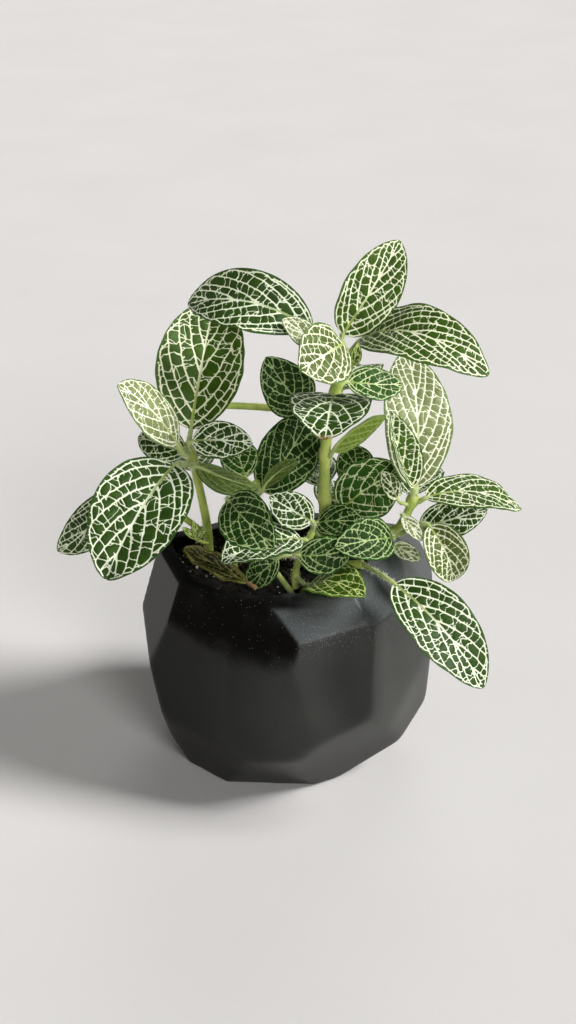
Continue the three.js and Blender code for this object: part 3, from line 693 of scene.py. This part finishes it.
def make_soil_litter(rng):
    """Peat crumbs, perlite grains and fibres lying on the soil, all from one rough grain."""
    bpy.ops.mesh.primitive_ico_sphere_add(subdivisions=1, radius=0.5 * MM)
    grain = bpy.context.object
    for corner in grain.data.vertices:
        corner.co *= rng.uniform(0.75, 1.25)
    places, turns, sizes, kinds = [], [], [], []
    sides = [facet_point(facet) for facet in POT_FACETS]
    while len(places) < LITTER_COUNT:
        x, y = rng.uniform(-48, 44), rng.uniform(-38, 36)
        lying = Vector((x, y, SOIL_TOP))
        if any((lying - point) @ outward > -POT_WALL - 1.5 for outward, point in sides):
            continue
        kind = rng.choices((0, 1, 2), LITTER_SHARES)[0]
        size = rng.uniform(0.8, 2.6) if kind == 0 else rng.uniform(0.5, 1.5)
        stretch = (1, 1, 1) if kind < 2 else (0.5, 0.5, rng.uniform(4, 9))
        lean = (rng.uniform(-1, 1), rng.uniform(-1, 1), rng.uniform(-1, 1) if kind < 2 else 0.12)
        places.append(np.array((x, y, SOIL_TOP + 0.2 + size * 0.3)) * MM)
        turns.append(turned_to(lean, rng.uniform(0, math.tau)))
        sizes.append(np.array(stretch) * size)
        kinds.append(kind)
    litter = scatter(grain, places, turns, sizes, "soil_litter", (PEAT_CRUMB, PERLITE, BARK_BIT), kinds)
    bpy.data.objects.remove(grain)
    return litter


# ---- stems


def respaced(line, stations):
    """Points on a line, as far from its start as `stations` gives for its whole length."""
    gone = np.concatenate([[0], np.cumsum(np.linalg.norm(np.diff(line, axis=0), axis=1))])
    at = stations(gone[-1])
    return np.stack([np.interp(at, gone, places) for places in line.T], 1)


def stem_points(path, step=STEM_STEP):
    """Points close together on the smooth curve through `path` (centripetal, ends extended)."""
    knots = np.array(path, float)
    knots = np.concatenate([[2 * knots[0] - knots[1]], knots, [2 * knots[-1] - knots[-2]]])
    fine = []
    for i in range(1, len(knots) - 2):
        p0, p1, p2, p3 = knots[i - 1 : i + 3]
        t0, t1, t2 = (max(np.linalg.norm(b - a), 1e-4) ** 0.5 for a, b in ((p0, p1), (p1, p2), (p2, p3)))
        m1 = t1 * ((p1 - p0) / t0 - (p2 - p0) / (t0 + t1) + (p2 - p1) / t1)
        m2 = t1 * ((p2 - p1) / t1 - (p3 - p1) / (t1 + t2) + (p3 - p2) / t2)
        s = np.linspace(0, 1, 60, endpoint=False)[:, None]
        fine.append(
            (2 * s**3 - 3 * s**2 + 1) * p1
            + (s**3 - 2 * s**2 + s) * m1
            + (3 * s**2 - 2 * s**3) * p2
            + (s**3 - s**2) * m2
        )
    fine = np.concatenate([*fine, [knots[-2]]])
    return respaced(fine, lambda length: np.linspace(0, length, max(4, round(length / step) + 1)))


def tube(points, radii, material, sides=3):
    """A round stalk along the points, in millimetres, its radius given at each."""
    bpy.ops.curve.primitive_bezier_curve_add(location=(0, 0, 0))
    stalk = bpy.context.object
    curve = stalk.data
    curve.splines.clear()
    spline = curve.splines.new("POLY")
    spline.points.add(len(points) - 1)
    for knot, point, radius in zip(spline.points, points, radii):
        knot.co = (*(np.asarray(point) * MM), 1.0)
        knot.radius = radius
    curve.dimensions = "3D"
    curve.bevel_depth = MM
    curve.bevel_resolution = sides
    curve.use_fill_caps = True
    bpy.ops.object.convert(target="MESH")
    stalk = bpy.context.object
    coat(stalk, material)
    bpy.ops.object.shade_smooth()
    return stalk


def hairs_on(points, radii, count, rng):
    """Fine hairs that stand off a stalk, denser than they are wide."""
    places, turns, sizes = [], [], []
    for _ in range(count):
        k = rng.randrange(len(points) - 1)
        share = rng.random()
        along = unit(points[k + 1] - points[k])
        out = unit(np.cross(along, (rng.gauss(0, 1), rng.gauss(0, 1), rng.gauss(0, 1))))
        radius = radii[k] + (radii[k + 1] - radii[k]) * share
        place = points[k] + (points[k + 1] - points[k]) * share + out * radius * 0.9
        places.append(place * MM)
        turns.append(turned_to(out + along * rng.uniform(-0.3, 0.5), 0.0))
        sizes.append(np.array((1, 1, rng.uniform(*HAIR_LENGTHS))))
    return scatter(HAIR_CONE, places, turns, sizes, "hairs", (HAIR,), [0] * count)


bpy.ops.mesh.primitive_cone_add(
    vertices=3, radius1=HAIR_RADIUS * MM, radius2=0, depth=MM, location=(0, 0, 0.5 * MM)
)
HAIR_CONE = bpy.context.object
bpy.ops.object.transform_apply(location=True, rotation=True, scale=True)


def stem_radii(path, radii, nodes=()):
    """Radius at each point: an even taper with a low swelling at every node."""
    points = stem_points(path)
    share = np.linspace(0, 1, len(points))
    widths = radii[0] + (radii[1] - radii[0]) * share
    length = len(points) * STEM_STEP
    for height in nodes:
        widths = widths * (1 + NODE_SWELL * np.exp(-(((share - height) * length / NODE_LENGTH) ** 2)))
    return points, widths


def make_stem(name, rng):
    pieces = []
    for key in (name, "branch") if name == "stem_main" else (name,):
        heights = [row[1] for stem, rows in LEAVES if stem == key for row in rows]
        points, radii = stem_radii(*STEMS[key], heights)
        pieces.append(tube(points, radii, STEM_SKIN, 4))
        pieces.append(hairs_on(points, radii, len(points) * HAIRS_PER_RING, rng))
    for path in STUBS.get(name, ()):
        points, radii = stem_radii(path, (1.3, 1.0))
        pieces.append(tube(points, radii, PETIOLE_SKIN, 4))
    return join(pieces, name + "_skin")


# ---- leaves


def outline(along, shape):
    """Share of the full half-width at a place along the blade."""
    swell, close = shape
    widest = swell / (swell + close)
    return (along / widest) ** swell * ((1 - along) / (1 - widest)) ** close


def blade_surface(base, tip, width, face, arch, bend, fold, shape):
    """The blade's middle surface as a function of `along` (0 to 1) and `across` (-1 to 1)."""
    base, tip, face = (np.array(v, float) for v in (base, tip, face))
    chord = tip - base
    forward = unit(chord)
    up = unit(face - forward * (face @ forward))
    right = np.cross(forward, up)
    bow = up * arch + right * bend
    rise, margin = (math.radians(angle) for angle in fold)
    turn = (margin - rise) or 1e-6

    def surface(along, across):
        u, v = np.broadcast_arrays(np.asarray(along, float), np.asarray(across, float))
        u, v = u[..., None], v[..., None]
        point = base + chord * u + bow * (4 * u * (1 - u))
        heading = unit(chord + bow * (4 * (1 - 2 * u)))
        side = unit(right - heading * (heading @ right)[..., None])
        facing = np.cross(side, heading)
        slope = rise + turn * np.abs(v)
        half = width / 2 * outline(u, shape)
        out = half * (np.sin(slope) - math.sin(rise)) / turn
        lift = half * (math.cos(rise) - np.cos(slope)) / turn
        hand = np.sign(v)
        point = point + side * hand * out + facing * lift
        facing = facing * np.cos(slope) - side * hand * np.sin(slope)
        return point, facing, heading, side

    return surface


def wavy(rng, size):
    """A smooth random line: a few sines with random phases, in units of `size`."""
    phases = [(rng.uniform(0.6, 2.2), rng.uniform(0, math.tau)) for _ in range(3)]

    def at(x):
        return size * sum(np.sin(x * rate + phase) for rate, phase in phases) / 2

    return at


def vein_network(rng, length, width, shape, thickness):
    """The veins of one half of a blade laid flat, midrib along x, in millimetres.

    Returns each vein as (points, half-width at each point).
    """
    draw = rng.uniform
    cell = 1.0 + 0.075 * width  # from one cross vein to the next
    count = 3 + round(length / 16)  # side veins
    band = 0.25 + 0.02 * width  # plain strip along the margin
    main_half = thickness * (0.12 + 0.0064 * width)
    fine_half = thickness * (0.082 + 0.0031 * width)

    def reach(u):
        """Height of the blade's margin over the midrib."""
        return width / 2 * outline(np.clip(u, 1e-4, 1 - 1e-4), shape)

    share = np.linspace(0, 1, count) ** 1.5
    leave = 0.03 + 0.79 * share + np.array([draw(-0.012, 0.012) for _ in share])
    leave[0] = 0.02
    # each side vein reaches the looping vein where its chord has the right slant
    stations = np.linspace(0.006, 0.985, 100)
    inside = np.maximum(0.62, 1 - band / reach(stations))
    heights = inside * reach(stations)
    meet = []
    for start, part in zip(leave, share):
        slant = width / length * (1.25 - 2.0 * part + 1.5 * part**2) * draw(0.9, 1.1)
        beyond = stations > start + 0.02
        rise = heights[beyond] / ((stations[beyond] - start) * length)
        meet.append(float(stations[beyond][np.argmax(rise < slant)]))
    least = 0.3 / count  # room for an arch of the looping vein between two side veins
    meet[-1] = min(meet[-1], 0.965)
    for k in range(count - 1, 0, -1):
        meet[k - 1] = min(meet[k - 1], meet[k] - least)
    meet = np.array(meet)
    between = np.interp(stations, [0, *meet, 1.001], np.arange(count + 2))
    arch = np.abs(np.sin(np.pi * between))
    arch[stations < meet[0]] = 0.6
    loop = inside * (0.91 + 0.09 * arch)
    loop *= 1 + wavy(rng, 0.01)(stations * length * 0.8)
    loop = np.minimum(loop, 0.97)

    def loop_height(u):
        return np.interp(u, stations, loop) * reach(u)

    loop_line = np.stack([stations * length, loop_height(stations)], 1)
    veins = [(loop_line, main_half * np.linspace(0.9, 0.65, 100))]

    def fine_vein(points, *girths):
        veins.append((np.stack(points), fine_half * np.array(girths)))

    side_veins = []
    t = np.linspace(0, 1, 18)
    for start, end in zip(leave, meet):
        a = np.array([start * length, 0.0])
        b = np.array([end * length, loop_height(end)])
        c = a + (b - a) * (draw(0.31, 0.38), draw(0.62, 0.7))
        points = ((1 - t) ** 2)[:, None] * a + (2 * t * (1 - t))[:, None] * c + (t**2)[:, None] * b
        points[:, 0] += wavy(rng, 0.16)(points[:, 1] * 0.9) * np.sin(np.pi * t)
        side_veins.append(points)
        veins.append((points, main_half * np.linspace(1.15, 0.75, 18)))

    def run_of(*parts):
        """The parts of a line as one line of points 0.1 mm apart."""
        return respaced(np.concatenate(parts), lambda whole: np.arange(0, whole, 0.1))

    def loop_part(start, end):
        at = np.linspace(start, end, 12)
        return np.stack([at * length, loop_height(at)], 1)

    def rib_part(start, end):
        return np.array([[start * length, 0.0], [end * length, 0.0]])

    # lanes between neighbouring side veins: each bounded by the lower vein and the looping vein,
    # and by the midrib and the upper vein
    lanes = [(run_of(loop_part(0.01, meet[0])), run_of(side_veins[0]))]
    ends = [*meet, 0.985]
    for k, line in enumerate(side_veins):
        above = [rib_part(leave[k], [*leave, 0.985][k + 1])]
        above += side_veins[k + 1 : k + 2]
        lanes.append((run_of(line, loop_part(ends[k], ends[k + 1])), run_of(*above)))

    def across_lane(lane, at, lean):
        """The point a distance `at` along one side of a lane and the nearest one over the lane."""
        near = lane[0][min(int(at * 10), len(lane[0]) - 1)]
        far = np.linalg.norm(lane[1] - near, axis=1).argmin() + int(lean * 10)
        return near, lane[1][min(max(far, 0), len(lane[1]) - 1)]

    for lane in lanes:
        long = len(lane[0]) / 10
        here = cell * draw(0.5, 1.0)
        knee_before = None
        while here < long - 0.4 * cell:
            lean = cell * draw(-0.55, 0.55)
            near, far = across_lane(lane, here, lean)
            way = far - near
            gap = np.linalg.norm(way) / cell
            ahead = unit(np.array([way[1], -way[0]]) + 1e-9)
            # a cross vein with one knee; in a wide lane it forks, or its knee is tied to the last one
            knee = near + way * draw(0.32, 0.68) + ahead * cell * draw(-0.4, 0.4)
            fine_vein([near, knee, far], 1.05, 0.85, 1.05)
            if rng.random() < (gap - 0.75) * 0.8:
                step = cell * draw(0.35, 0.6) * rng.choice((-1, 1))
                other = across_lane(lane, here + abs(step), lean + step)[rng.randrange(2)]
                bow = (knee + other) / 2 + (other - knee)[::-1] * (0.12, -0.12)
                fine_vein([knee, bow, other], 0.85, 0.7, 0.9)
            if knee_before is not None and rng.random() < (gap - 1.1) * 0.6:
                bow = (knee + knee_before) / 2 + way * draw(-0.08, 0.08)
                fine_vein([knee_before, bow, knee], 0.8, 0.7, 0.8)
            knee_before = knee
            here += cell * draw(0.7, 1.4)
    # short blind ends: over the plain margin, and into the cells
    ticks = round(length / 2.8)
    for k in range(ticks):
        u = 0.05 + 0.9 * (k + draw(0.1, 0.9)) / ticks
        foot = np.array([u * length, loop_height(u)])
        end = foot + (draw(0.0, 0.8), draw(0.5, 0.9) * (reach(u) - loop_height(u)))
        fine_vein([foot, end], 1, 0.5)
    for _ in range(round(length / 1.8)):
        lane = rng.choice(lanes[1:])[:: rng.choice((1, -1))]
        foot, far = across_lane(lane, draw(0.008, 0.088) * len(lane[0]), 0)
        way = far - foot
        size = min(np.linalg.norm(way) * 0.5, 0.6 * cell) * draw(0.6, 1.0)
        knee = foot + unit(way + 1e-9) * size * 0.6 + (draw(-0.3, 0.4), draw(-0.2, 0.2))
        end = knee + (draw(-0.1, 0.5), draw(-0.35, 0.35))
        fine_vein([foot, knee, end], 0.95, 0.8, 0.5)
    return veins


def distance_to(points, line, halves):
    """How far each point is from the edge of a vein that follows `line`, negative inside it."""
    a, b = line[:-1], line[1:]
    run = b - a
    rel = points[:, None, :] - a[None]
    t = np.clip((rel * run).sum(-1) / np.maximum((run * run).sum(-1), 1e-9), 0, 1)
    gap = np.linalg.norm(rel - t[..., None] * run, axis=-1)
    return (gap - (halves[:-1] + (halves[1:] - halves[:-1]) * t)).min(1)


def webbed(gap, other, web):
    """The smaller of two distances, filled out a little where two veins meet."""
    return np.minimum(gap, other) - np.clip(web - np.abs(gap - other), 0, None) ** 2 / (4 * web)


def vein_distance(rng, points, gap, length, width, shape, thickness):
    """For points on one half of a flat blade: how far they are from the nearest vein's edge."""
    bent = points + np.stack(
        [wavy(rng, 0.09)(points[:, 1] * 1.3), wavy(rng, 0.09)(points[:, 0] * 1.3)],
        1,
    )
    bent[:, 1] += (points[:, 1] - bent[:, 1]) * np.exp(-points[:, 1])
    for line, halves in vein_network(rng, length, width, shape, thickness):
        low, high = line.min(0) - 2.5, line.max(0) + 2.5
        near = ((bent > low) & (bent < high)).all(1)
        if near.any():
            gap[near] = webbed(gap[near], distance_to(bent[near], line, halves), VEIN_WEB)
    return gap


def make_blade(name, surface, length, width, shape, finish, rng, spacing=BLADE_MESH):
    """A blade as a fine sheet on its surface, puffed between the veins, then given its thickness."""
    rows = max(24, round(length / spacing))
    columns = max(16, 2 * round(width / spacing / 2))
    bpy.ops.mesh.primitive_grid_add(x_subdivisions=rows, y_subdivisions=columns, size=1)
    blade = bpy.context.object
    blade.name = name
    flat = coordinates(blade.data)
    share = flat[:, 0] + 0.5
    along = 0.5 * share + 0.5 * (1 - np.cos(np.pi * share)) / 2
    along = 0.0012 + 0.9976 * along
    across = -2 * flat[:, 1]
    margin = width / 2 * outline(along, shape)
    points = np.stack([along * length, np.abs(across) * margin], 1)
    thickness = FINE_VEINED.get(finish, 1.0)
    rib_half = thickness * (0.25 + 0.0125 * width) * (1 - 0.62 * along)
    rib_half = np.where(along > 0.97, 0.05, rib_half)
    rib = points[:, 1] - rib_half
    gap = rib.copy()
    for hand in (-1, 1):
        side = across * hand >= 0
        gap[side] = vein_distance(rng, points[side], gap[side], length, width, shape, thickness)
    edge = (1 - np.abs(across)) * margin
    puff = (0.1 + 0.005 * width) * (1 - np.exp(-np.clip(gap, 0, None) / 0.55))
    puff = puff * np.clip(edge / 1.6, 0, 1) ** 0.7 * np.clip(margin / 3, 0, 1)
    ripple = wavy(rng, 0.02 * width)(along * 9) * np.abs(across) ** 3
    ripple = ripple + wavy(rng, 0.008 * width)(points[:, 0] * 0.5 + across)
    if finish == "withered":
        ripple = ripple + wavy(rng, 0.6)(along * 14 + across * 2) * (0.3 + np.abs(across))
    spot, facing, _, _ = surface(along, across)
    spot = spot + facing * (puff + ripple * np.clip(margin / 4, 0, 1))[:, None]
    blade.data.vertices.foreach_set("co", (spot * MM).ravel())
    for label, values in (("vein", gap), ("rib", rib), ("edge", edge), ("along", along)):
        attribute = blade.data.attributes.new(label, "FLOAT", "POINT")
        attribute.data.foreach_set("value", values.astype(np.float32))
    coat(blade, *FINISHES[finish])
    finish_modifier(
        blade, "SOLIDIFY", thickness=LEAF_THICKNESS * MM, offset=0.0, material_offset=1,
        material_offset_rim=0
    )
    bpy.ops.object.shade_smooth_by_angle(angle=math.radians(50))
    return blade


def petiole_points(stem, height, base, heading):
    """From inside the stem's skin to the blade's base, as a cubic Bezier curve."""
    base = np.array(base, float)
    if stem is None:
        return np.linspace(base - heading * LOOSE_PETIOLE, base, 6)
    path, radii = STEMS[stem]
    points = stem_points(path, 0.5)
    at = height * (len(points) - 1)
    k = min(int(at), len(points) - 2)
    spot = points[k] + (points[k + 1] - points[k]) * (at - k)
    along = unit(points[k + 1] - points[k])
    outward = base - spot
    if height < 1:
        outward = outward - along * (outward @ along)
    outward = unit(outward)
    start = spot + outward * (radii[0] + (radii[1] - radii[0]) * height) * (0.7 if height < 1 else 0.0)
    pull = PETIOLE_PULL * np.linalg.norm(base - start)
    s = np.linspace(0, 1, max(6, round(np.linalg.norm(base - start) / 1.2)))[:, None]
    return (
        (1 - s) ** 3 * start
        + 3 * s * (1 - s) ** 2 * (start + outward * pull)
        + 3 * s**2 * (1 - s) * (base - heading * pull)
        + s**3 * base
    )


def make_leaf(stem, row, rng):
    name, height, base, tip, width, face, arch, bend, fold, finish, *outlined = row
    shape = outlined[0] if outlined else OVATE
    surface = blade_surface(base, tip, width, face, arch, bend, fold, shape)
    spine, facing, heading, _ = surface(np.linspace(0, 1, 60), 0.0)
    length = float(np.linalg.norm(np.diff(spine, axis=0), axis=1).sum())
    blade = make_blade(name + "_skin", surface, length, width, shape, finish, rng)
    # the petiole runs on under the blade as its raised midrib
    stalk = petiole_points(stem, height, base, heading[0])
    girth = min(PETIOLE_RADIUS, 0.45 + width * 0.03)
    sunk = np.linspace(0.02, 0.82, 16)
    under, down, _, _ = surface(sunk, 0.0)
    rib_radii = girth * (1 - sunk) ** 1.3 * 0.85
    under = under - down * (LEAF_THICKNESS / 2 + rib_radii * np.clip(sunk * 8, 0.1, 0.75))[:, None]
    radii = np.concatenate([np.linspace(girth * 1.15, girth, len(stalk)), rib_radii])
    if height < 1 and stem:
        radii[0] = girth * 1.45
    points = np.concatenate([stalk, under])
    pieces = [blade, tube(points, radii, BARK_BIT if finish == "withered" else PETIOLE_SKIN, 2)]
    reach = float(np.linalg.norm(np.diff(stalk, axis=0), axis=1).sum())
    if finish != "withered":
        pieces.append(hairs_on(stalk, radii, round(reach * PETIOLE_HAIRS_PER_MM), rng))
    return join(pieces, name + "_skin")


def make_shoot(rng):
    points = stem_points(SHOOT_STEM[0], 1.0)
    radii = np.linspace(*SHOOT_STEM[1], len(points))
    pieces = [tube(points, radii, STEM_SKIN, 2)]
    for tip, width, face in SHOOT_LEAVES:
        surface = blade_surface(SHOOT_BASE, tip, width, face, 0.5, 0, (15, 15), OVATE)
        length = float(np.linalg.norm(np.subtract(tip, SHOOT_BASE)))
        pieces.append(make_blade("shoot_blade", surface, length, width, OVATE, "young", rng, 0.3))
    pieces.append(hairs_on(points, radii, 30, rng))
    return join(pieces[1:] + pieces[:1], "shoot_left_skin")


# ---- build and hand over

hand_over(make_pot(), "pot_ceramic", "pot")
hand_over(make_soil(random.Random(SOIL_SEED)), "potting_soil", "soil")
for number, name in enumerate(key for key in STEMS if key != "branch"):
    hand_over(make_stem(name, random.Random(STEM_SEED + number)), "green_stem", name)
for number, (stem, row) in enumerate((stem, row) for stem, rows in LEAVES for row in rows):
    slot = "dry_leaf" if "withered" in row else "leaf_blade"
    hand_over(make_leaf(stem, row, random.Random(LEAF_SEED + number)), slot, row[0])
hand_over(make_shoot(random.Random(SHOOT_SEED)), "leaf_blade", "shoot_left")
bpy.data.objects.remove(HAIR_CONE)

# ---- floor, light and camera

FLOOR_FINISH, floor_tree = new_material("pale_plain_floor")
floor_place = node(floor_tree, "TexCoord").outputs["Object"]
floor_clouds = node(floor_tree, "TexNoise", {"Vector": floor_place, "Scale": per_mm(120), "Detail": 6.0})
floor_tone = node(floor_tree, "Mix", {0: floor_clouds, 6: "#dad7d5", 7: "#e4e1df"}, data_type="RGBA")
floor_shader = node(floor_tree, "BsdfPrincipled", {"Base Color": floor_tone, "Roughness": 0.9})
node(floor_tree, "OutputMaterial", {"Surface": floor_shader})
# The floor's far edge rises gently, like a paper sweep, so that a low view doesn't end in a dark
# horizon: radius and height of each ring, in metres.
SWEEP = [(13.0, 3.9), (12.4, 2.7), (11.4, 1.5), (10.0, 0.6), (8.5, 0.15), (7.0, 0.0)]
sweep_radius, sweep_height = SWEEP[0]
bpy.ops.mesh.primitive_circle_add(
    vertices=96, radius=sweep_radius, fill_type="NOTHING", location=(0, 0, sweep_height)
)
floor = bpy.context.object
floor.name = "floor"
bpy.ops.object.mode_set(mode="EDIT")
bpy.ops.mesh.select_all(action="SELECT")
for radius, height in SWEEP[1:]:
    step = {"value": (0, 0, height - sweep_height)}
    bpy.ops.mesh.extrude_edges_move(TRANSFORM_OT_translate=step)
    narrower = radius / sweep_radius
    bpy.ops.transform.resize(value=(narrower, narrower, 1), center_override=(0, 0, height))
    sweep_radius, sweep_height = radius, height
bpy.ops.mesh.edge_face_add()
bpy.ops.mesh.select_all(action="SELECT")
bpy.ops.mesh.normals_make_consistent(inside=True)
bpy.ops.object.mode_set(mode="OBJECT")
bpy.ops.object.shade_smooth()
bpy.ops.object.transform_apply(location=True, rotation=False, scale=False)
coat(floor, FLOOR_FINISH)

CAMERA_TARGET = Vector((0, 0, 0.105))
CAMERA_DISTANCE = 0.62
CAMERA_ELEVATION = math.radians(26.5)
CAMERA_VIEW = math.radians(35.1)  # from the picture's bottom edge to its top

back = Vector((0, -math.cos(CAMERA_ELEVATION), math.sin(CAMERA_ELEVATION)))
bpy.ops.object.camera_add(location=CAMERA_TARGET + back * CAMERA_DISTANCE)
camera = bpy.context.object
camera.rotation_euler = (-back).to_track_quat("-Z", "Y").to_euler()
camera.data.lens = camera.data.sensor_width / 2 / math.tan(CAMERA_VIEW / 2)
camera.data.clip_start = 0.01
bpy.context.scene.camera = camera


def studio_light(kind, name, place, aim, **settings):
    bpy.ops.object.light_add(type=kind, location=place)
    light = bpy.context.object
    light.name = name
    light.rotation_euler = (Vector(aim) - Vector(place)).to_track_quat("-Z", "Y").to_euler()
    for setting, value in settings.items():
        setattr(light.data, setting, value)


# a broad key from the right, a second one from the front, and a weak light over the back
studio_light("SUN", "key", (1.55, -0.2, 1.25), (0, 0, 0), energy=3.45, angle=math.radians(18))
studio_light("SUN", "front", (0.65, -1.5, 0.85), (0, 0, 0), energy=1.2, angle=math.radians(22))
studio_light("SUN", "back", (0.3, 1.6, 1.2), (0, 0, 0), energy=0.45, angle=math.radians(30))

world = bpy.data.worlds.new("studio")
bpy.context.scene.world = world
world.use_nodes = True
backdrop = world.node_tree.nodes["Background"].inputs
backdrop["Color"].default_value = linear("#eceae6")
backdrop["Strength"].default_value = 0.03
bpy.context.scene.view_settings.view_transform = "Standard"
